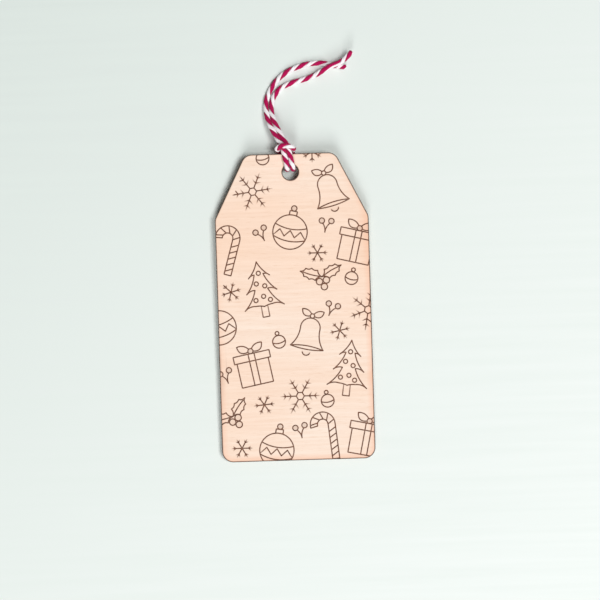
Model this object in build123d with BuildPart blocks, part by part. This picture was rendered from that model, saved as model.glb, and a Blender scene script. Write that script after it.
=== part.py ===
from build123d import *

import math
import os
from itertools import accumulate

# Gift tag: a laser-cut plywood board with a twine hitched through its hole, lying on a table.
# Millimetres. The table is z = 0, +Y runs along the board towards the twine, and the origin is
# under the middle of the board. The twine behind the board props up its top end.

# Board
board_width = 50.0
board_length = 100.0
shoulder_across = 10.4
shoulder_down = 20.8
corner_radius = 3.6
face_veneer_thickness = 0.9
core_veneer_thickness = 1.0
back_veneer_thickness = 0.9
glue_thickness = 0.1
hole_diameter = 5.2
hole_setback = 6.0

# Twine
twine_diameter = 1.8
board_clearance = 0.4
hole_clearance = 0.3
strand_clearance = 0.16
crossing_clearance = 0.3
table_clearance = 0.05

# Hitch, measured from the top edge of the board or from the strands it grips
hitch_shift = -1.35
hole_bend = 1.1
hitch_setout = 1.35
band_setout = 1.9
band_clearance = 0.25
under_band_dip = 0.45
root_setout = 4.5
root_dip = 0.85
root_clearance = 0.3
root_left_x = -4.1
root_right_x = -1.5

# Share of the hitch's sideways shift that a front strand has at the top edge and at the hole
edge_shift_share = 0.6
hole_shift_share = 0.1

# Share of a corner's shorter run that its arc takes up
arc_share = 0.45

twine_radius = twine_diameter / 2
hole_radius = hole_diameter / 2
top = board_length / 2
hole_y = top - hole_setback

# Plies from the back of the board to its face
plies = {
    "back_veneer": back_veneer_thickness,
    "back_glue_line": glue_thickness,
    "core_veneer": core_veneer_thickness,
    "front_glue_line": glue_thickness,
    "face_veneer": face_veneer_thickness,
}
board_thickness = sum(plies.values())

# Two strands pass the hole side by side, close to its upper wall
strand_half_gap = twine_radius + strand_clearance / 2
hole_reach = hole_radius - twine_radius - hole_clearance
hole_strand_y = hole_y + math.sqrt(hole_reach**2 - strand_half_gap**2)

# The board leans on the strands behind it, so that they and its lower edge touch the table
prop_depth = board_clearance + twine_diameter
lean = math.degrees(math.atan2(prop_depth, top + hole_strand_y))
lean_sine = math.sin(math.radians(lean))
board_plane = Plane(
    origin=(0, board_thickness / 2 * lean_sine, board_length / 2 * lean_sine),
    x_dir=(1, 0, 0),
    z_dir=(0, -lean_sine, math.cos(math.radians(lean))),
)


def bend_radii(points):
    """The largest arc that each corner's two runs leave room for."""
    radii = []
    for before, corner, after in zip(points, points[1:], points[2:]):
        shorter = min((corner - before).length, (after - corner).length)
        turn = (corner - before).get_angle(after - corner)
        radii.append(arc_share * shorter / math.tan(math.radians(turn / 2)))
    return radii


def report_tube(name, tube, path, points):
    """Print the tube's bends, and its volume beside its section times its length."""
    radii = ", ".join(f"{radius:.1f}" for radius in bend_radii(points))
    expected = math.pi * twine_radius**2 * path.length
    print(f"{name}: length {path.length:.1f}, volume {tube.part.volume:.2f} of {expected:.2f}")
    print(f"  radii {radii}")
    print(f"  lowest point {tube.part.bounding_box().min.Z:.3f}")


def show_route(name, points):
    """Print the points of a route in the part's frame."""
    print(name, [tuple(round(value, 2) for value in point) for point in points])


os.makedirs("parts", exist_ok=True)

# Board: five sheets cut to one outline, with the hole through all of them
levels = [0, *accumulate(plies.values())]
for (name, thickness), level in zip(plies.items(), levels):
    with BuildPart() as ply:
        with BuildSketch(board_plane.offset(level)) as outline:
            with BuildLine():
                Polyline(
                    (-board_width / 2, -board_length / 2),
                    (board_width / 2, -board_length / 2),
                    (board_width / 2, top - shoulder_down),
                    (board_width / 2 - shoulder_across, top),
                    (-board_width / 2 + shoulder_across, top),
                    (-board_width / 2, top - shoulder_down),
                    close=True,
                )
            make_face()
            fillet(outline.vertices(), corner_radius)
            with Locations((0, hole_y)):
                Circle(hole_radius, mode=Mode.SUBTRACT)
        extrude(amount=thickness)
    ply.part.label = name
    export_step(ply.part, f"parts/{name}.step")

# Heights of the strands above the back of the board
front_level = board_thickness + board_clearance + twine_radius
back_level = -board_clearance - twine_radius
under_level = front_level - under_band_dip
over_level = under_level + twine_diameter + band_clearance
root_level = under_level - root_dip

# Sideways places of the band: round the outside of the two strands that it grips
band_half_width = strand_half_gap + twine_diameter + band_clearance


def hitch_half(side):
    """One strand of the hitch on the board's own plane, from its root to the middle of the band."""
    strand = side * strand_half_gap
    wrap = hitch_shift + side * band_half_width
    root_x = root_left_x if side < 0 else root_right_x
    back_middle_y = (hole_strand_y + hole_bend + top) / 2
    return [
        (root_x, top + root_setout, root_level),
        (hitch_shift + strand, top + band_setout, under_level),
        (edge_shift_share * hitch_shift + strand, top - under_band_dip, front_level),
        (hole_shift_share * hitch_shift + strand, hole_strand_y + hole_bend, front_level),
        (strand, hole_strand_y, front_level - hole_bend),
        (strand, hole_strand_y, back_level + hole_bend),
        (strand + side * strand_clearance, hole_strand_y + hole_bend, back_level),
        ((strand + wrap) / 2 - side * strand_clearance, back_middle_y, back_level),
        (wrap - side * twine_radius / 2, top + strand_clearance, back_level),
        (wrap, top + hitch_setout, back_level + hole_bend),
        (wrap, top + hitch_setout + strand_clearance, (back_level + over_level) / 2),
        (wrap + side * strand_clearance, top + hitch_setout, over_level - hole_bend),
        (wrap - side * hole_bend, top + band_setout, over_level),
    ]


left_half = [board_plane.from_local_coords(Vector(point)) for point in hitch_half(-1)]
right_half = [board_plane.from_local_coords(Vector(point)) for point in hitch_half(1)]
band_middle = board_plane.from_local_coords(
    Vector(hitch_shift, top + band_setout + strand_clearance, over_level)
)
left_root = left_half[0]
right_root = right_half[0]


def trimmed(half):
    """The strand without its first stretch, which belongs to the tail and to the gap before it."""
    run = half[1] - half[0]
    return [half[0] + run.normalized() * (twine_radius + root_clearance), *half[1:]]


# Hitch: two strands down the face, through the hole and up the back, and the band across them
hitch_points = [*trimmed(left_half), band_middle, *reversed(trimmed(right_half))]
with BuildPart() as twine_hitch:
    with BuildLine() as hitch_route:
        FilletPolyline(hitch_points, radius=bend_radii(hitch_points))
    with BuildSketch(Plane(origin=hitch_points[0], z_dir=hitch_points[1] - hitch_points[0])):
        Circle(twine_radius)
    sweep()
twine_hitch.part.label = "twine_hitch"
export_step(twine_hitch.part, "parts/twine_hitch.step")
report_tube("twine_hitch", twine_hitch, hitch_route.wire(), hitch_points)
show_route("hitch", hitch_points)

# Tails: they come down from the hitch to the table, and the right one lies over the left one
lying = twine_radius + table_clearance
drop = left_root.Z - lying
rise = twine_diameter + crossing_clearance

left_tail_points = [
    left_root,
    Vector(-5.6, top + 7.0, lying + 0.80 * drop),
    Vector(-6.9, top + 9.7, lying + 0.55 * drop),
    Vector(-7.7, top + 13.1, lying + 0.25 * drop),
    Vector(-7.7, top + 16.9, lying + 0.05 * drop),
    Vector(-6.3, top + 20.9, lying),
    Vector(-3.4, top + 24.8, lying),
    Vector(0.6, top + 27.6, lying),
    Vector(5.2, top + 29.2, lying),
    Vector(9.8, top + 29.8, lying),
    Vector(13.2, top + 29.3, lying),
    Vector(15.6, top + 28.4, lying),
    Vector(17.4, top + 28.0, lying + 0.1 * rise),
    Vector(19.1, top + 27.8, lying + 0.3 * rise),
]

right_tail_points = [
    right_root,
    Vector(-2.8, top + 7.0, lying + 0.80 * drop),
    Vector(-4.1, top + 9.7, lying + 0.55 * drop),
    Vector(-5.4, top + 12.5, lying + 0.28 * drop),
    Vector(-5.8, top + 15.5, lying + 0.08 * drop),
    Vector(-5.0, top + 18.8, lying),
    Vector(-2.9, top + 21.5, lying),
    Vector(0.5, top + 23.3, lying),
    Vector(5.0, top + 24.4, lying),
    Vector(8.9, top + 25.6, lying + 0.35 * rise),
    Vector(12.0, top + 27.4, lying + 0.85 * rise),
    Vector(14.6, top + 29.1, lying + 1.05 * rise),
    Vector(17.3, top + 30.4, lying + 1.20 * rise),
    Vector(19.5, top + 31.8, lying + 1.40 * rise),
    Vector(21.0, top + 32.9, lying + 1.65 * rise),
]

# Each tail starts in a round end, centred on the line that both of them fold about
for name, points in [("twine_tail_left", left_tail_points), ("twine_tail_right", right_tail_points)]:
    with BuildPart() as tail:
        with BuildLine() as tail_route:
            FilletPolyline(points, radius=bend_radii(points))
        with BuildSketch(Plane(origin=points[0], z_dir=points[1] - points[0])):
            Circle(twine_radius)
        sweep()
        with Locations(points[0]):
            Sphere(twine_radius)
    tail.part.label = name
    export_step(tail.part, f"parts/{name}.step")
    report_tube(name, tail, tail_route.wire(), points)
    show_route(name, points)

print(f"lean {lean:.4f} degrees, board thickness {board_thickness:.2f}")
print(f"fold axis at y {left_root.Y:.3f}, z {left_root.Z:.3f}")
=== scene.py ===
import cmath
import math
from itertools import pairwise

import bmesh
import bpy
import numpy as np
from mathutils import Matrix, Vector
from mathutils.geometry import delaunay_2d_cdt


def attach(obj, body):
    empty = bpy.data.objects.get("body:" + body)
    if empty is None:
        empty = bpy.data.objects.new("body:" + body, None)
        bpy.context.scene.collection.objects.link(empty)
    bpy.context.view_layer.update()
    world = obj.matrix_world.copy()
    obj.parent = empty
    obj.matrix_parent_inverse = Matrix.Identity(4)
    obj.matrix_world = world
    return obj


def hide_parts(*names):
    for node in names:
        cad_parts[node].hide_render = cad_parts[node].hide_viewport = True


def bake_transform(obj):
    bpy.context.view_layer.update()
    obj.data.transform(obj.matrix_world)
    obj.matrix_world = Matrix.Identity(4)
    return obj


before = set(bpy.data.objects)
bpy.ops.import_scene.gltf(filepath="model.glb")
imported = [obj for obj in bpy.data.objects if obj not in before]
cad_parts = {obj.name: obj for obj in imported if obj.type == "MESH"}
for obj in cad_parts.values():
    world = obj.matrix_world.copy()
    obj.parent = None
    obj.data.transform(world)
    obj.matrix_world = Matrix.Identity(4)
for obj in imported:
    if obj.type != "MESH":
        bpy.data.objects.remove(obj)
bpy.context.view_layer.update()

# Lengths are in millimetres until a piece is made, and a millimetre is this much of a metre
MM = 0.001

# Board, whose width, length, thickness and lean are read from the frame
shoulder_across = 10.4
shoulder_down = 20.8
corner_radius = 3.6
hole_radius = 2.6
hole_setback = 6.0
hole_steps = 48
arris = 0.14

# How far in from a cut edge the soot and painted shade of its corner reach, how far the laser's
# heat reaches, and the least share of its char
soot_and_shade_reach = 0.26
char_reach = 0.46
toast_reach = 2.2
least_char_share = 0.5

# How brown the edges are at the board's middle, and how much browner to the right and downwards
browned_middle = 0.68
browned_rightwards = 0.32
browned_downwards = 0.5

# Engraved lines
line_half_width = 0.21
line_floor_half_width = 0.16
line_depth = 0.16
sharp_turn = math.radians(40)
merge_distance = 1e-5

# How finely a curve is stepped: a step's length, and the fewest steps in an arc and in a bent line
chord = 0.6
fewest_arc_steps = 6
fewest_bow_steps = 4
extra_corner_steps = 2

# Twine: a red and a white pair of plies, each pair an oval pressed against the other
twine_pitch = 5.8
first_turn = 0.62
red_share = 0.56
pair_reach = 0.87
pair_offset = 0.37
pair_half_height = pair_reach - pair_offset
pair_half_width = 0.7
ply_crease = 0.06
crease_half_angle = math.radians(14)
fibre_relief = 0.015
fibre_pitch = 1.4
fibres_across = 5
tip_length = 0.45
tip_blunting = 0.8
# Painted shade on the twine's cut end faces, on the same scale as the depth of the grooves between
# the plies
end_shade = 0.5
steps_per_pair = 22
route_resolution = 22


def linear(red, green, blue):
    """A colour given as it looks on a screen, 0 to 255, as the numbers that a shader takes."""
    def channel(value):
        share = value / 255
        return share / 12.92 if share <= 0.04045 else ((share + 0.055) / 1.055) ** 2.4

    return (channel(red), channel(green), channel(blue), 1.0)


# Board's own frame: millimetres, u across, v along, w up from the engraved face
face_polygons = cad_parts["face_veneer"].data.polygons
face_normal = max(face_polygons, key=lambda polygon: polygon.area).normal
board_turn = Matrix.Rotation(math.atan(-face_normal.y / face_normal.z), 3, "X")


def levelled_box(node):
    """Lowest and highest corner of a ply, in metres, with the board's lean taken off."""
    level = board_turn.transposed()
    corners = np.array([level @ vertex.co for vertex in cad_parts[node].data.vertices])
    return corners.min(axis=0), corners.max(axis=0)


face_low, face_high = levelled_box("face_veneer")
back_low, back_high = levelled_box("back_veneer")
board_width, board_length, face_thickness = (face_high - face_low) / MM
back_thickness = (back_high - back_low)[2] / MM
board_thickness = (face_high - back_low)[2] / MM
face_middle = Vector((*(face_low + face_high)[:2] / 2, face_high[2]))
face_place = Matrix.Translation(board_turn @ face_middle)
board_matrix = face_place @ board_turn.to_4x4() @ Matrix.Scale(MM, 4)
back_place = Matrix.Translation((0, 0, -board_thickness))
back_matrix = board_matrix @ back_place @ Matrix.Rotation(math.pi, 4, "Y")
board_top = board_length / 2
hole_centre = complex(0, board_top - hole_setback)


def board_outline(inset):
    """The board's rounded outline, anticlockwise, moved inwards by inset."""
    half = board_width / 2
    corners = [
        complex(-half, -board_top),
        complex(half, -board_top),
        complex(half, board_top - shoulder_down),
        complex(half - shoulder_across, board_top),
        complex(-half + shoulder_across, board_top),
        complex(-half, board_top - shoulder_down),
    ]
    points = []
    for before, corner, after in zip(corners[-1:] + corners, corners, corners[1:] + corners):
        arriving = -1j * (corner - before) / abs(corner - before)
        leaving = -1j * (after - corner) / abs(after - corner)
        cosine = (arriving * leaving.conjugate()).real
        centre = corner - corner_radius * (arriving + leaving) / (1 + cosine)
        turn = math.acos(cosine)
        steps = math.ceil(turn * corner_radius / chord) + extra_corner_steps
        points += [
            centre + (corner_radius - inset) * arriving * cmath.exp(1j * turn * step / steps)
            for step in range(steps + 1)
        ]
    return np.array(points)


def hole_outline(outset):
    """The hole's circle, made larger by outset."""
    circle = np.exp(2j * np.pi * np.arange(hole_steps) / hole_steps)
    return hole_centre + (hole_radius + outset) * circle


# Drawing: a stroke is a row of complex numbers in millimetres
def line(*points):
    """Straight runs from point to point."""
    return np.array(points, dtype=complex)


def arc(centre, radius, start=0, sweep=360):
    """Part of a circle, from an angle and through an angle in degrees."""
    steps = max(fewest_arc_steps, math.ceil(math.radians(abs(sweep)) * radius / chord))
    angles = np.radians(start + sweep * np.linspace(0, 1, steps + 1))
    return centre + radius * np.exp(1j * angles)


def bow(start, end, bulge):
    """A bent line. Bulge is how far its middle stands out to the left, as a share of its length."""
    steps = max(fewest_bow_steps, math.ceil(abs(end - start) / chord))
    share = np.linspace(0, 1, steps + 1)
    control = (start + end) / 2 + 2j * bulge * (end - start)
    return start * (1 - share) ** 2 + control * 2 * share * (1 - share) + end * share**2


def turned(angle):
    """The number that turns a stroke by an angle in degrees."""
    return cmath.exp(1j * math.radians(angle))


def six_sided(arm):
    """The arm's strokes, turned to six sides."""
    return [stroke * cmath.exp(1j * sixth * math.pi / 3) for sixth in range(6) for stroke in arm]


def mirrored(strokes):
    """The strokes and their mirror images across the upright axis."""
    return [*strokes, *(-stroke.conj() for stroke in strokes)]


def ribbon_bow(knot, reach):
    """Two loops of ribbon from a small round knot."""
    knot_radius = 0.24 * reach
    tip = knot + complex(1.15 * reach, 0.6 * reach)
    loop = [
        bow(knot + knot_radius * turned(60), tip, 0.16),
        bow(tip, knot + knot_radius * turned(-10), 0.3),
    ]
    return [*mirrored(loop), arc(knot, knot_radius)]


def fir_tree():
    """Three tiers of boughs, each wider than the one above, on a short trunk."""
    side = []
    neck = 9.8j
    for reach, level in ((3.5, 4.8), (5.0, -0.2), (6.5, -5.4)):
        tip = complex(reach, level)
        side.append(bow(neck, tip, -0.07))
        neck = complex(0.42 * reach, level + 0.9)
        side.append(bow(tip, neck, -0.12))
    side.append(bow(neck, complex(0, neck.imag - 0.5), -0.05))
    side.append(line(1.1 - 5j, 1.1 - 8.4j, -8.4j))
    balls = [6j, -1.3 + 2.7j, 1.3 + 1.6j, -2.4 - 2.6j, 0.3 - 1.7j, 2.3 - 3.1j]
    return mirrored(side) + [arc(spot, 0.7) for spot in balls]


def snowflake():
    """Six arms with two pairs of barbs each, round a small hexagon."""
    reach = 6.6
    core = 0.2 * reach
    arm = [line(core, reach), line(core, core * cmath.exp(1j * math.pi / 3))]
    for share, barb in ((0.45, 0.26), (0.72, 0.2)):
        root = share * reach
        for side in (-1, 1):
            arm.append(line(root, root + barb * reach * cmath.exp(1j * side * math.pi / 3)))
    return six_sided(arm)


def bauble():
    """A glass ball with a cap, a ring and a zigzag band."""
    ball = arc(-1j, 5.6)
    cap = line(-1.2 + 4.5j, -1.2 + 5.9j, 1.2 + 5.9j, 1.2 + 4.5j)
    band = [bow(complex(-5.2, level), complex(5.2, level), -0.1) for level in (1, -3)]
    zigzag = line(*(complex(1.7 * step - 5.1, -2.6 + 2.1 * (step % 2)) for step in range(7)))
    return [ball, cap, arc(6.8j, 0.9), *band, zigzag]


def bell():
    """A bell with a flared rim, a clapper and a ribbon bow."""
    side = [arc(2.2j, 3.2, 0, 90), bow(3.2 + 2.2j, 5.4 - 4.4j, -0.1)]
    rim = [bow(-5.4 - 4.4j, 5.4 - 4.4j, -0.05), bow(-5.4 - 4.4j, 5.4 - 4.4j, 0.06)]
    return [*mirrored(side), *rim, arc(-5.6j, 1.3, 180, 180), *ribbon_bow(6.1j, 3.1)]


def gift_box():
    """A wrapped box with a lid, a ribbon round it and a bow."""
    box = line(-5.2 + 1j, -5.2 - 7j, 5.2 - 7j, 5.2 + 1j)
    lid = line(-6 + 1j, 6 + 1j, 6 + 3.4j, -6 + 3.4j, -6 + 1j)
    ribbon = mirrored([line(1 + 3.4j, 1 - 7j)])
    return [box, lid, *ribbon, *ribbon_bow(4.2j, 3.6)]


def candy_cane():
    """A hooked stick with slanting stripes."""
    hook = 2.9
    half = 1.15
    crook = 3.6j
    sweep = 190
    foot = complex(hook, -8)
    sides = []
    for side in (-half, half):
        upright = line(foot + side, complex(hook + side, crook.imag))
        sides += [upright, arc(crook, hook + side, 0, sweep)]
    ends = [line(foot - half, foot + half)]
    ends.append(crook + line(hook - half, hook + half) * turned(sweep))
    slants = []
    for level in range(-7, 3, 2):
        slants.append(hook + line(complex(-half, level), complex(half, level + 1.3)))
    for angle in (10, 50, 90, 130, 170):
        inner = (hook - half) * turned(angle - 12)
        outer = (hook + half) * turned(angle + 8)
        slants.append(crook + line(inner, outer))
    return [stroke - 0.6 for stroke in (*sides, *ends, *slants)]


def holly():
    """Two scalloped leaves and three berries."""
    leaf = []
    edge = [0j, 2.2 + 2j, 4.6 + 2.2j, 6.8 + 1.6j, 8.6 + 0j]
    for start, end in pairwise(edge):
        scallop = bow(start, end, -0.16)
        leaf += [scallop, scallop.conj()]
    leaf.append(bow(0.6 + 0j, 7.4 + 0j, 0.04))
    leaves = [1.4j + stroke * turned(angle) for angle in (18, 152) for stroke in leaf]
    berries = [arc(spot, 1.25) for spot in (-1.35 - 0.2j, 1.35 - 0.2j, -2.5j)]
    return [stroke * 0.85 for stroke in (*leaves, *berries)]


def small_flake():
    """Three crossed lines with a fork at each end."""
    reach = 3.4
    arm = [line(0, reach)]
    for side in (-1, 1):
        arm.append(0.62 * reach + line(0, 0.3 * reach * cmath.exp(1j * side * math.pi / 4)))
    return six_sided(arm)


def berry_sprig():
    """Two small berries on a forked stalk."""
    stalks = [bow(-2.2j, -1.1 + 0.6j, -0.1), bow(-2.2j, 1.2 + 0.9j, 0.1)]
    return [*stalks, arc(-1.5 + 1.4j, 0.9), arc(1.6 + 1.7j, 0.9)]


def small_bauble():
    """A small ball with a band and a ring."""
    return [arc(-0.6j, 2.1), arc(2.2j, 0.65), bow(-2.1 - 0.6j, 2.1 - 0.6j, -0.12)]


# Where each motif lies on the board, and how far it is turned in degrees
pattern = (
    (snowflake, -12.5 + 38j, 8),
    (bell, 12.5 + 37.5j, 16),
    (bauble, -0.5 + 25.5j, -12),
    (candy_cane, -21.5 + 19.5j, -16),
    (gift_box, 21 + 21j, -14),
    (fir_tree, -10.5 + 5.5j, 9),
    (holly, 9.5 + 8.5j, 12),
    (snowflake, 24 - 1.5j, 20),
    (bauble, -25 - 5j, 14),
    (bell, 4.5 - 9j, -12),
    (gift_box, -14 - 18j, 11),
    (fir_tree, 17 - 21j, -8),
    (snowflake, 1 - 29j, 0),
    (holly, -20.5 - 36j, 38),
    (bauble, -7 - 45.5j, -10),
    (candy_cane, 9 - 42j, 6),
    (gift_box, 22.5 - 42j, -12),
    (small_bauble, -9 + 49.3j, 10),
    (small_flake, 7.2 + 50.4j, 30),
    (berry_sprig, 11 + 26.3j, -10),
    (berry_sprig, -10 + 24j, 24),
    (small_flake, 8 + 17.5j, 0),
    (small_bauble, 19 + 9.5j, -15),
    (small_flake, -20.5 + 5.5j, 16),
    (berry_sprig, 12 - 1j, -24),
    (small_bauble, -5.5 - 10.5j, 12),
    (small_flake, 14.5 - 8j, 12),
    (berry_sprig, -23 - 22j, 18),
    (small_flake, -10.8 - 31.5j, 5),
    (small_bauble, 9.8 - 30.2j, 8),
    (berry_sprig, 0.8 - 40.5j, 10),
    (small_flake, -18.5 - 45.5j, 0),
)


def drawing():
    """Every stroke that the laser leaves on the face, in the board's own frame."""
    strokes = []
    for motif, spot, turn in pattern:
        strokes += [spot + stroke * turned(turn) for stroke in motif()]
    return strokes


def on_board(strokes):
    """The strokes that reach the board, cut at their sharp turns."""
    kept = []
    for stroke in strokes:
        runs = np.diff(stroke)
        turns = np.abs(np.angle(runs[1:] / runs[:-1]))
        cuts = [0, *(np.flatnonzero(turns > sharp_turn) + 1), len(stroke) - 1]
        kept += [stroke[first:last + 1] for first, last in pairwise(cuts)]
    half_width = board_width / 2 + line_half_width
    half_length = board_top + line_half_width
    return [
        stroke for stroke in kept
        if np.any((np.abs(stroke.real) < half_width) & (np.abs(stroke.imag) < half_length))
    ]


def stroke_outline(stroke, half_width):
    """The closed outline of a stroke of that half width, with square ends."""
    runs = np.diff(stroke)
    runs = runs / np.abs(runs)
    forward = np.concatenate((runs[:1], runs[:-1] + runs[1:], runs[-1:]))
    forward = forward / np.abs(forward)
    middle = stroke.copy()
    middle[0] -= half_width * forward[0]
    middle[-1] += half_width * forward[-1]
    aside = 1j * half_width * forward
    return np.concatenate((middle - aside, (middle + aside)[::-1]))


def distance_to_lines(points, strokes, closed=False):
    """How far each point is from the nearest of the strokes."""
    nearest = np.full(len(points), np.inf)
    for stroke in strokes:
        row = np.append(stroke, stroke[:1]) if closed else stroke
        for start, end in pairwise(row):
            run = end - start
            share = np.clip(((points - start) * run.conjugate()).real / abs(run) ** 2, 0, 1)
            nearest = np.minimum(nearest, np.abs(points - start - share * run))
    return nearest


def triangulated(loops):
    """Points and triangles of the flat sheet that the loops lie in."""
    points, edges = [], []
    for loop in loops:
        first = len(points)
        count = len(loop)
        points += [Vector((point.real, point.imag)) for point in loop]
        edges += [(first + step, first + (step + 1) % count) for step in range(count)]
    flat, _, triangles, *_ = delaunay_2d_cdt(points, edges, [], 0, merge_distance)
    return np.array([complex(point.x, point.y) for point in flat]), np.array(triangles)


def inside_board(points, inset):
    """Whether each point is on the board, so far inside its outline and outside its hole."""
    outline = board_outline(inset)
    within = np.abs(points - hole_centre) > hole_radius + inset
    for start, end in pairwise(np.append(outline, outline[:1])):
        within &= ((points - start) * (end - start).conjugate()).imag > 0
    return within


def add_object(name, data):
    """A new object in the scene that holds the data."""
    made = bpy.data.objects.new(name, data)
    bpy.context.scene.collection.objects.link(made)
    return made


def laser_marks(points, cut):
    """How much each point of a veneer is charred and toasted, and how dark its cut edge's corner is
    with soot and painted shade, from 0 to 1.
    """
    to_outline = distance_to_lines(points, [board_outline(0)], closed=True)
    to_hole = np.abs(points - hole_centre) - hole_radius
    to_edge = np.minimum(to_outline, to_hole)
    browned = browned_middle + browned_rightwards * points.real / (board_width / 2)
    browned = np.clip(browned - browned_downwards * points.imag / board_top, 0, 1)
    char_share = least_char_share + (1 - least_char_share) * browned
    burnt_width = (char_reach - arris) * np.where(to_hole < to_outline, 1, char_share)
    burnt = np.clip(1 - (to_edge - arris) / burnt_width, 0, 1)
    toasted = np.clip(1 - to_edge / toast_reach, 0, 1) * browned
    sooty_and_shaded = np.clip((soot_and_shade_reach - to_edge) / (soot_and_shade_reach - arris), 0, 1)
    return {"char": np.maximum(cut, burnt), "toast": toasted, "soot_and_shade": sooty_and_shaded}


def add_edges(shape, layers, thickness):
    """Give a sheet its cut edges: an eased corner, dark with soot and painted shade, and a charred
    wall to the far side.
    """
    rim = [edge for edge in shape.edges if edge.is_boundary]
    outward = {}
    for edge in rim:
        loop = edge.link_loops[0]
        run = loop.link_loop_next.vert.co - loop.vert.co
        aside = Vector((run.y, -run.x, 0)).normalized()
        for corner in edge.verts:
            outward[corner] = outward.get(corner, Vector()) + aside
    for part in ("corner", "wall"):
        grown = bmesh.ops.extrude_edge_only(shape, edges=rim)["geom"]
        rim = [item for item in grown if isinstance(item, bmesh.types.BMEdge) and item.is_boundary]
        moved = {}
        for corner in (item for item in grown if isinstance(item, bmesh.types.BMVert)):
            linked = [edge.other_vert(corner) for edge in corner.link_edges]
            above = next(other for other in linked if other in outward)
            moved[corner] = outward[above]
            for layer in layers.values():
                corner[layer] = 1.0
            if part == "corner":
                corner.co += arris * outward[above].normalized()
                corner.co.z -= arris
            else:
                corner.co.z = -thickness
                corner[layers["soot_and_shade"]] = 0.0
        outward = moved
    bmesh.ops.triangle_fill(shape, edges=rim, use_beauty=True)


def veneer_piece(name, strokes, thickness, matrix):
    """An outer veneer of the board, with its strokes cut in and the marks that the laser left."""
    rings = (arris, soot_and_shade_reach, char_reach, toast_reach)
    loops = [board_outline(inset) for inset in rings] + [hole_outline(outset) for outset in rings]
    for stroke in strokes:
        loops += [stroke_outline(stroke, half) for half in (line_half_width, line_floor_half_width)]
    points, triangles = triangulated(loops)
    triangles = triangles[inside_board(points[triangles].mean(axis=1), arris)]
    to_line = distance_to_lines(points, strokes)
    cut = np.clip((line_half_width - to_line) / (line_half_width - line_floor_half_width), 0, 1)
    marks = laser_marks(points, cut)

    shape = bmesh.new()
    layers = {mark: shape.verts.layers.float.new(mark) for mark in marks}
    corners = {}
    for index in np.unique(triangles):
        corner = shape.verts.new((points[index].real, points[index].imag, -line_depth * cut[index]))
        for mark, layer in layers.items():
            corner[layer] = marks[mark][index]
        corners[index] = corner
    for triangle in triangles:
        shape.faces.new([corners[index] for index in triangle])
    add_edges(shape, layers, thickness)
    bmesh.ops.recalc_face_normals(shape, faces=shape.faces)

    mesh = bpy.data.meshes.new(name)
    shape.to_mesh(mesh)
    shape.free()
    mesh.transform(matrix)
    return add_object(name, mesh)


# Twine's route, after the solids' own: both tails run from their roots, and the hitch between these
left_tail_route = [
    (-3.65, 54.45, 5.42), (-4.95, 57.0, 4.55), (-6.3, 59.7, 3.45), (-7.2, 63.0, 2.1),
    (-7.48, 66.9, 1.2), (-6.15, 70.8, 0.95), (-3.35, 74.8, 0.95), (0.6, 77.6, 0.95),
    (5.2, 79.2, 0.95), (9.8, 79.8, 0.95), (13.2, 79.3, 0.95), (15.6, 78.55, 0.95),
    (17.5, 78.3, 1.16), (19.3, 77.95, 1.58),
]
hitch_route = [
    (-3.12, 53.49, 5.71), (-2.25, 51.83, 6.21), (-1.7, 49.47, 6.6), (-1.04, 46.02, 6.52),
    (-0.9, 44.95, 5.4), (-0.98, 45.03, 2.0), (-1.14, 46.15, 0.93), (-2.4, 48.1, 0.97),
    (-3.6, 50.21, 1.02), (-3.95, 51.38, 2.15), (-3.95, 51.48, 4.65), (-4.1, 51.5, 7.15),
    (-2.9, 52.25, 8.2), (-1.4, 52.4, 8.2), (0.0, 52.2, 8.2), (1.27, 51.68, 7.2),
    (1.25, 51.46, 4.65), (1.15, 51.38, 2.15), (0.95, 50.21, 1.02), (1.07, 48.1, 0.97),
    (1.14, 46.15, 0.93), (0.98, 45.03, 2.0), (0.88, 44.95, 5.4), (0.74, 46.02, 6.52),
    (0.05, 49.47, 6.6), (-0.47, 51.83, 6.21), (-1.2, 53.39, 5.85),
]
right_tail_route = [
    (-1.88, 54.45, 5.55), (-3.13, 57.1, 4.85), (-4.48, 59.8, 3.8), (-5.43, 62.6, 2.5),
    (-5.7, 65.6, 1.5), (-4.95, 68.8, 1.0), (-2.9, 71.5, 0.95), (0.5, 73.3, 0.95),
    (5.0, 74.3, 0.95), (8.9, 75.4, 1.69), (12.0, 77.2, 2.73), (14.6, 78.5, 3.16),
    (17.3, 79.3, 3.47), (19.3, 80.6, 3.89), (21.3, 82.7, 4.42),
]

# Turns that the lay has gained at points along the twine, from its left tip to its right one
gained_turns = (
    (left_tail_route[-1], -0.56),
    (left_tail_route[11], 0.07),
    (left_tail_route[7], 0.09),
    (left_tail_route[5], 0.0),
    (left_tail_route[4], 0.0),
    (left_tail_route[2], -0.12),
    (hitch_route[0], -0.12),
    (hitch_route[3], 0.33),
    (hitch_route[11], 0.4),
    (hitch_route[13], 0.5),
    (hitch_route[15], 0.41),
    (hitch_route[22], 0.62),
    (hitch_route[23], 0.55),
    (hitch_route[-1], 0.66),
    (right_tail_route[2], 0.43),
    (right_tail_route[8], 0.43),
    (right_tail_route[9], 0.53),
    (right_tail_route[10], 0.45),
    (right_tail_route[11], 0.1),
    (right_tail_route[12], -0.33),
    (right_tail_route[13], -0.28),
    (right_tail_route[-1], -0.34),
)


def smooth_line(route):
    """Points along the smooth line that the route's points steer, in metres."""
    curve = bpy.data.curves.new("twine_route", "CURVE")
    curve.dimensions = "3D"
    curve.resolution_u = route_resolution
    spline = curve.splines.new("NURBS")
    spline.points.add(len(route) - 1)
    for control, point in zip(spline.points, route):
        control.co = (*(Vector(point) * MM), 1)
    spline.order_u = 3
    spline.use_endpoint_u = True
    carrier = bpy.data.objects.new("twine_route", curve)
    mesh = bpy.data.meshes.new_from_object(carrier)
    points = np.array([vertex.co for vertex in mesh.vertices])
    bpy.data.objects.remove(carrier)
    bpy.data.meshes.remove(mesh)
    bpy.data.curves.remove(curve)
    return points


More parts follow.
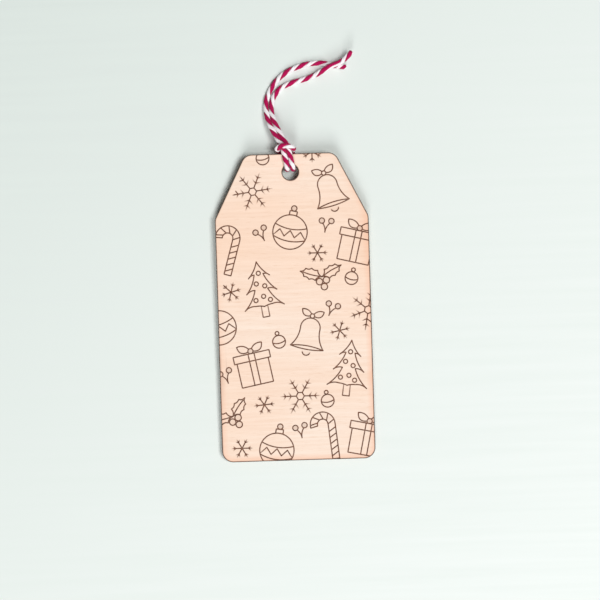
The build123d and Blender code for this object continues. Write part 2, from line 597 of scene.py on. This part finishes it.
def carried_frames(points):
    """Two directions across the line at each point, which turn no more than the line does."""
    tangents = np.gradient(points, axis=0)
    tangents /= np.linalg.norm(tangents, axis=1)[:, None]
    across = np.cross(tangents[0], (0, 0, 1))
    sideways = []
    for tangent in tangents:
        across = across - tangent * (across @ tangent)
        across = across / np.linalg.norm(across)
        sideways.append(across)
    sideways = np.array(sideways)
    return sideways, np.cross(tangents, sideways)


def pair_radius(angles):
    """How far a pair of plies reaches from the twine's axis, at angles from its own middle."""
    square = (np.cos(angles) / pair_half_height) ** 2 + (np.sin(angles) / pair_half_width) ** 2
    lean = pair_offset * np.cos(angles) / pair_half_height**2
    inside = 1 - (pair_offset / pair_half_height) ** 2
    oval = (lean + np.sqrt(lean**2 + square * inside)) / square
    return oval - ply_crease * np.exp(-((angles / crease_half_angle) ** 2))


def nearest_step(points, spot):
    """The step of the line that is nearest to a spot given in millimetres."""
    return int(np.argmin(np.linalg.norm(points - np.array(spot) * MM, axis=1)))


def twine_rings(points):
    """Rings of points round the line: the two pairs of plies laid left-handed, with fine fibres."""
    runs = np.linalg.norm(np.diff(points, axis=0), axis=1)
    along = np.concatenate(([0], np.cumsum(runs))) / MM
    first, second = carried_frames(points)
    own = np.tile(math.pi * (np.arange(steps_per_pair) / steps_per_pair - 0.5), 2)
    pair = np.repeat((0, math.pi), steps_per_pair)
    spread = np.repeat((2 * red_share, 2 - 2 * red_share), steps_per_pair)
    fibres = np.cos(2 * fibres_across * own + 2 * math.pi * along[:, None] / fibre_pitch + pair)
    from_tip = np.minimum(along, along[-1] - along)
    blunt = np.sqrt(1 - tip_blunting * np.clip(1 - from_tip / tip_length, 0, 1) ** 2)
    radii = (pair_radius(own) - fibre_relief * (1 - fibres) * np.cos(own)) * blunt[:, None] * MM
    stations = [along[nearest_step(points, spot)] for spot, _ in gained_turns]
    gained = np.interp(along, stations, [turns for _, turns in gained_turns])
    turns = first_turn + along / twine_pitch + gained
    angles = spread * own + pair - 2 * math.pi * turns[:, None]
    rings = points[:, None] + radii[..., None] * (
        np.cos(angles)[..., None] * first[:, None] + np.sin(angles)[..., None] * second[:, None]
    )
    # The second value is how deep each point lies in the grooves between the plies, which the
    # cotton darkens as painted shade
    return rings, 1 - pair_radius(own) / pair_reach


def twine_piece(name, points, rings, depths):
    """A closed stretch of the twine, with its first pair of plies red and the other white."""
    count = rings.shape[1]
    corners = [tuple(corner) for ring in rings for corner in ring]
    corners += [tuple(points[0]), tuple(points[-1])]
    start, end = len(corners) - 2, len(corners) - 1
    last = (len(rings) - 1) * count
    faces, colours = [], []
    for step in range(count):
        after = (step + 1) % count
        for ring in range(len(rings) - 1):
            here, there = ring * count, (ring + 1) * count
            faces.append((here + step, here + after, there + after, there + step))
        faces += [(start, after, step), (end, last + step, last + after)]
        colours += [step // steps_per_pair] * (len(rings) + 1)
    mesh = bpy.data.meshes.new(name)
    mesh.from_pydata(corners, [], faces)
    mesh.polygons.foreach_set("material_index", colours)
    mesh.polygons.foreach_set("use_smooth", [True] * len(faces))
    # Painted shade: each point carries how deep it lies in the grooves between the plies, and the
    # cut ends a set share, for the cotton to darken
    groove_shade = mesh.attributes.new("groove_shade", "FLOAT", "POINT")
    grooves = np.append(np.tile(depths, len(rings)), (end_shade, end_shade))
    groove_shade.data.foreach_set("value", grooves)
    return add_object(name, mesh)


# Materials
def new_material(name):
    """A material with one Principled shader: the material, its node tree and the shader."""
    material = bpy.data.materials.new(name)
    material.use_nodes = True
    tree = material.node_tree
    tree.nodes.clear()
    output = tree.nodes.new("ShaderNodeOutputMaterial")
    shader = tree.nodes.new("ShaderNodeBsdfPrincipled")
    tree.links.new(shader.outputs["BSDF"], output.inputs["Surface"])
    return material, tree, shader


def feed(tree, socket, value):
    """Link another socket to the socket, or set it to a constant."""
    if isinstance(value, bpy.types.NodeSocket):
        tree.links.new(value, socket)
    else:
        socket.default_value = value


def add_node(tree, kind, inputs, **settings):
    """A new shader node with its settings, and its inputs linked or set."""
    made = tree.nodes.new("ShaderNode" + kind)
    for name, value in settings.items():
        setattr(made, name, value)
    for key, value in inputs.items():
        feed(tree, made.inputs[key], value)
    return made


def coordinates(tree, scale, offset=(0, 0, 0)):
    """The object's own coordinates, with so many units to the millimetre along each axis."""
    own = tree.nodes.new("ShaderNodeTexCoord").outputs["Object"]
    inputs = {"Vector": own, "Scale": [value / MM for value in scale], "Location": offset}
    return add_node(tree, "Mapping", inputs).outputs["Vector"]


def noise(tree, scale, detail=3.0, offset=(0, 0, 0)):
    """Noise stretched by scale."""
    inputs = {"Vector": coordinates(tree, scale, offset), "Scale": 1.0, "Detail": detail}
    return add_node(tree, "TexNoise", inputs).outputs["Fac"]


def attribute(tree, name):
    """A number that the mesh carries at each of its points."""
    return add_node(tree, "Attribute", {}, attribute_name=name).outputs["Fac"]


def ramp(tree, socket, low, high, start=0.0, end=1.0):
    """The socket's stretch from low to high, spread from start to end."""
    inputs = {"Value": socket, "From Min": low, "From Max": high, "To Min": start, "To Max": end}
    return add_node(tree, "MapRange", inputs).outputs["Result"]


def mix(tree, factor, first, second):
    """Two colours mixed by factor."""
    made = add_node(tree, "Mix", {}, data_type="RGBA")
    values = {"Factor_Float": factor, "A_Color": first, "B_Color": second}
    for socket in made.inputs:
        if socket.identifier in values:
            feed(tree, socket, values[socket.identifier])
    return next(socket for socket in made.outputs if socket.identifier == "Result_Color")


def product(tree, first, second):
    """Two numbers multiplied."""
    return add_node(tree, "Math", {0: first, 1: second}, operation="MULTIPLY").outputs["Value"]


def dress(tree, shader, colour, roughness, specular):
    """Give the shader its colour, its roughness and the strength of its shine."""
    feed(tree, shader.inputs["Base Color"], colour)
    feed(tree, shader.inputs["Roughness"], roughness)
    feed(tree, shader.inputs["Specular IOR Level"], specular)


def add_bump(tree, shader, height, distance, strength):
    """Bumps on the shader, as high as the distance in metres."""
    inputs = {"Height": height, "Distance": distance, "Strength": strength}
    feed(tree, shader.inputs["Normal"], add_node(tree, "Bump", inputs).outputs["Normal"])


# Colours of the wood, and how much of it the laser's marks and the painted shade on the edges'
# corners cover at most
wood_light = linear(255, 235, 219)
wood_warm = linear(255, 223, 200)
wood_dark = linear(240, 203, 176)
wood_pore = linear(226, 184, 154)
wood_toast = linear(250, 195, 165)
scorch_colour = linear(246, 190, 155)
char_light = linear(118, 72, 48)
char_dark = linear(86, 50, 34)
# Near-black on the edges' corners: partly real laser soot, partly painted contact shade round the
# board
soot_and_shade_colour = linear(38, 26, 22)
glue_brown = linear(88, 58, 40)
core_brown = linear(150, 106, 74)
scorch_share = 0.5
toast_share = 0.7
soot_and_shade_share = 0.7

# Broad tones of the veneer: their scale to the millimetre, and where in the noise they come from
tone_scale = (0.012, 0.034, 0.0)
tone_place = (-26.79, 24.74, 0.0)


def grain_scale(axis, along, across):
    """Scale of a texture that is long along one axis of the board, x or y, and short across it."""
    return (along, across, across) if axis == "x" else (across, along, across)


def wood_colour(tree, axis):
    """Light veneer with its grain along one axis: the colour, and a height for its bumps."""
    tone = noise(tree, tone_scale, detail=2.0, offset=tone_place)
    streak_scale = grain_scale(axis, along=0.05, across=1.1)
    streaks = noise(tree, streak_scale, detail=4.0, offset=(3.1, 1.7, 0.4))
    pore_scale = grain_scale(axis, along=0.32, across=4.2)
    pores = noise(tree, pore_scale, detail=2.0, offset=(7.3, 2.9, 1.1))
    colour = mix(tree, ramp(tree, tone, 0.33, 0.7), wood_warm, wood_light)
    colour = mix(tree, ramp(tree, streaks, 0.3, 0.7, 0.0, 0.4), colour, wood_dark)
    colour = mix(tree, ramp(tree, pores, 0.6, 0.76, 0.0, 0.4), colour, wood_pore)
    return colour, pores


def char_colour(tree):
    """Laser-burnt wood, unevenly brown."""
    patches = noise(tree, (0.9, 0.9, 0.4), offset=(1.3, 5.1, 2.2))
    return mix(tree, ramp(tree, patches, 0.35, 0.7), char_light, char_dark)


def scorch(tree, spot, size):
    """A soft patch round a spot on the face. Its size is its half width and its half length."""
    centre = board_matrix @ Vector((*spot, 0))
    scale = (1 / size[0], 1 / size[1], 0.0)
    offset = [-value * factor / MM for value, factor in zip(centre, scale)]
    inputs = {"Vector": coordinates(tree, scale, offset)}
    fade = add_node(tree, "TexGradient", inputs, gradient_type="SPHERICAL").outputs["Fac"]
    return product(tree, fade, ramp(tree, noise(tree, (0.25, 0.7, 0.7)), 0.35, 0.65, 0.6, 1.0))


def veneer_material(name, scorches):
    """Bare veneer, toasted and charred where the laser cut it, and dark with soot and painted shade
    on the edges' corners.
    """
    material, tree, shader = new_material(name)
    colour, pores = wood_colour(tree, "x")
    for spot, size in scorches:
        patch = product(tree, scorch(tree, spot, size), scorch_share)
        colour = mix(tree, patch, colour, scorch_colour)
    colour = mix(tree, product(tree, attribute(tree, "toast"), toast_share), colour, wood_toast)
    uneven = ramp(tree, noise(tree, (1.4, 1.4, 1.4), detail=2.0), 0.3, 0.6, 0.86, 1.0)
    colour = mix(tree, product(tree, attribute(tree, "char"), uneven), colour, char_colour(tree))
    # Soot and painted contact shade on the edges' corners
    colour = mix(tree, product(tree, attribute(tree, "soot_and_shade"), soot_and_shade_share), colour, soot_and_shade_colour)
    dress(tree, shader, colour, ramp(tree, pores, 0.3, 0.7, 0.62, 0.78), specular=0.25)
    add_bump(tree, shader, pores, distance=0.04 * MM, strength=0.35)
    return material


def inner_material(name, axis, tint):
    """A ply that shows only at the cut edge, browned by the laser, with upright burn marks."""
    material, tree, shader = new_material(name)
    colour, _ = wood_colour(tree, axis)
    marks = noise(tree, (1.8, 1.8, 0.25), offset=(0.7, 0.2, 4.0))
    burnt = mix(tree, ramp(tree, marks, 0.3, 0.7), char_colour(tree), tint)
    colour = mix(tree, ramp(tree, marks, 0.25, 0.75, 0.75, 0.97), colour, burnt)
    dress(tree, shader, colour, ramp(tree, marks, 0.3, 0.7, 0.6, 0.8), specular=0.25)
    add_bump(tree, shader, marks, distance=0.08 * MM, strength=0.5)
    return material


def cotton_material(name, colour, shade):
    """A dyed or bleached cotton ply, mottled, with painted shade in the grooves between the plies
    and on the cut ends.
    """
    material, tree, shader = new_material(name)
    mottled = noise(tree, (1.6, 1.6, 1.6))
    fuzz = noise(tree, (7.0, 7.0, 7.0), detail=2.0, offset=(2.0, 5.0, 3.0))
    base = mix(tree, ramp(tree, mottled, 0.35, 0.7, 0.0, 0.35), colour, shade)
    # Painted shade, darkest deep in the grooves between the plies and on the cut ends
    base = mix(tree, ramp(tree, attribute(tree, "groove_shade"), 0.15, 0.5, 0.0, 0.8), base, shade)
    dress(tree, shader, base, ramp(tree, fuzz, 0.3, 0.7, 0.8, 0.95), specular=0.15)
    shader.inputs["Sheen Weight"].default_value = 0.12
    shader.inputs["Sheen Roughness"].default_value = 0.5
    add_bump(tree, shader, fuzz, distance=0.06 * MM, strength=0.5)
    return material


def floor_material():
    """A pale painted table top, very slightly brushed, with painted light grading it from shaded at
    the upper left to lit at the lower right.
    """
    material, tree, shader = new_material("pale_table")
    inputs = {"Vector": coordinates(tree, (1 / 240, -1 / 200, 0), (0.5, 0.5, 0))}
    painted_light = add_node(tree, "TexGradient", inputs, gradient_type="DIAGONAL").outputs["Fac"]
    brushed = noise(tree, (0.012, 0.3, 0.3), detail=2.0)
    # Painted light: a shaded tone at the upper left grades to a lit tone at the lower right
    colour = mix(tree, painted_light, linear(219, 228, 223), linear(250, 255, 252))
    colour = mix(tree, ramp(tree, brushed, 0.3, 0.7, 0.0, 0.3), colour, linear(230, 239, 233))
    dress(tree, shader, colour, roughness=0.75, specular=0.2)
    return material


# Light
def add_softbox(name, direction, distance, size, energy):
    """A rectangular lamp in that direction from the board, facing it, with its width along x."""
    data = bpy.data.lights.new(name, "AREA")
    data.shape = "RECTANGLE"
    data.size, data.size_y = size
    data.energy = energy
    lamp = add_object(name, data)
    away = Vector(direction).normalized()
    across = Vector((0, 1, 0)).cross(away).normalized()
    turn = Matrix((across, away.cross(across), away)).transposed()
    lamp.matrix_world = Matrix.Translation(away * distance) @ turn.to_4x4()
    lamp.visible_camera = False


def pale_room(light, backdrop):
    """A dim even light all round, which the camera sees as a pale backdrop."""
    world = bpy.data.worlds.new("pale_room")
    world.use_nodes = True
    tree = world.node_tree
    background = tree.nodes["Background"]
    background.inputs["Color"].default_value = linear(252, 255, 253)
    seen = tree.nodes.new("ShaderNodeLightPath").outputs["Is Camera Ray"]
    feed(tree, background.inputs["Strength"], ramp(tree, seen, 0.0, 1.0, light, backdrop))
    bpy.context.scene.world = world


# Board pieces. A scorch has its spot on the face, and its half width and half length
face_scorches = [
    ((25.0, 20.5), (5.0, 12.0)),
    ((25.0, 27.0), (5.0, 5.5)),
    ((25.0, -23.5), (2.4, 4.5)),
]
engraved_face = veneer_piece("engraved_face", on_board(drawing()), face_thickness, board_matrix)
plain_back = veneer_piece("plain_back", [], back_thickness, back_matrix)
for sheet, side, scorches in ((engraved_face, "face", face_scorches), (plain_back, "back", [])):
    sheet.data.materials.append(veneer_material(side + "_veneer_wood", scorches))
    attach(sheet, "board")
    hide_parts(side + "_veneer")

for node, axis, tint in (
    ("front_glue_line", "x", glue_brown),
    ("core_veneer", "y", core_brown),
    ("back_glue_line", "x", glue_brown),
):
    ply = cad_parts[node]
    ply.data.materials.clear()
    ply.data.materials.append(inner_material(node + "_edge", axis, tint))

# Twine pieces
route = [*reversed(left_tail_route), *hitch_route, *right_tail_route]
twine_line = smooth_line(route)
seams = [nearest_step(twine_line, hitch_route[end]) for end in (0, -1)]
twine_surface, groove_depths = twine_rings(twine_line)
cotton = [
    cotton_material("red_cotton", colour=linear(188, 12, 86), shade=linear(130, 2, 52)),
    cotton_material("white_cotton", colour=linear(255, 251, 253), shade=linear(246, 228, 237)),
]
twine_pieces = []
for name, first, last in (
    ("left_tail", 0, seams[0]),
    ("hitch", seams[0], seams[1]),
    ("right_tail", seams[1], len(twine_line) - 1),
):
    stretch = slice(first, last + 1)
    points, rings = twine_line[stretch], twine_surface[stretch]
    piece = twine_piece("twine_" + name + "_strand", points, rings, groove_depths)
    for material in cotton:
        piece.data.materials.append(material)
    twine_pieces.append((piece, points))

(left_tail, left_line), (hitch, _), (right_tail, right_line) = twine_pieces
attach(hitch, "board")
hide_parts("twine_hitch")
for piece, points, node, exit_point, company in (
    (left_tail, left_line, "twine_tail_left", left_line[-1], [hitch]),
    (right_tail, right_line, "twine_tail_right", right_line[0], []),
):
    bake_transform(piece)
    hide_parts(node)

# Table, light and camera, in metres
table_half = 6.0
table_level = -0.02 * MM
table_corners = [(-1, -1), (1, -1), (1, 1), (-1, 1)]
floor_mesh = bpy.data.meshes.new("table_top")
floor_mesh.from_pydata(
    [(x * table_half, y * table_half, table_level) for x, y in table_corners],
    [],
    [(0, 1, 2, 3)],
)
floor = add_object("table_top", floor_mesh)
floor.data.materials.append(floor_material())

pale_room(light=0.09, backdrop=0.9)
add_softbox(
    "overhead_softbox", direction=(0.34, -0.09, 1.0), distance=6.0, size=(1.8, 2.15), energy=218
)
add_softbox(
    "low_softbox", direction=(-0.06, -0.92, 1.0), distance=7.2, size=(2.15, 4.95), energy=270
)

photo_pixels = 600
pixels_per_mm = 3.07
photo_turn = math.radians(1.76)
camera_height = 0.6
camera_spot = (1.87 * MM, 2.27 * MM)
face_height = board_matrix.translation.z
camera_data = bpy.data.cameras.new("overhead")
camera_data.sensor_width = 36.0
camera_data.lens = camera_data.sensor_width * camera_height / (photo_pixels / pixels_per_mm * MM)
camera = add_object("overhead", camera_data)
camera.location = (*camera_spot, face_height + camera_height)
camera.rotation_euler = (0, 0, -photo_turn)
bpy.context.scene.camera = camera
bpy.context.scene.view_settings.view_transform = "Standard"
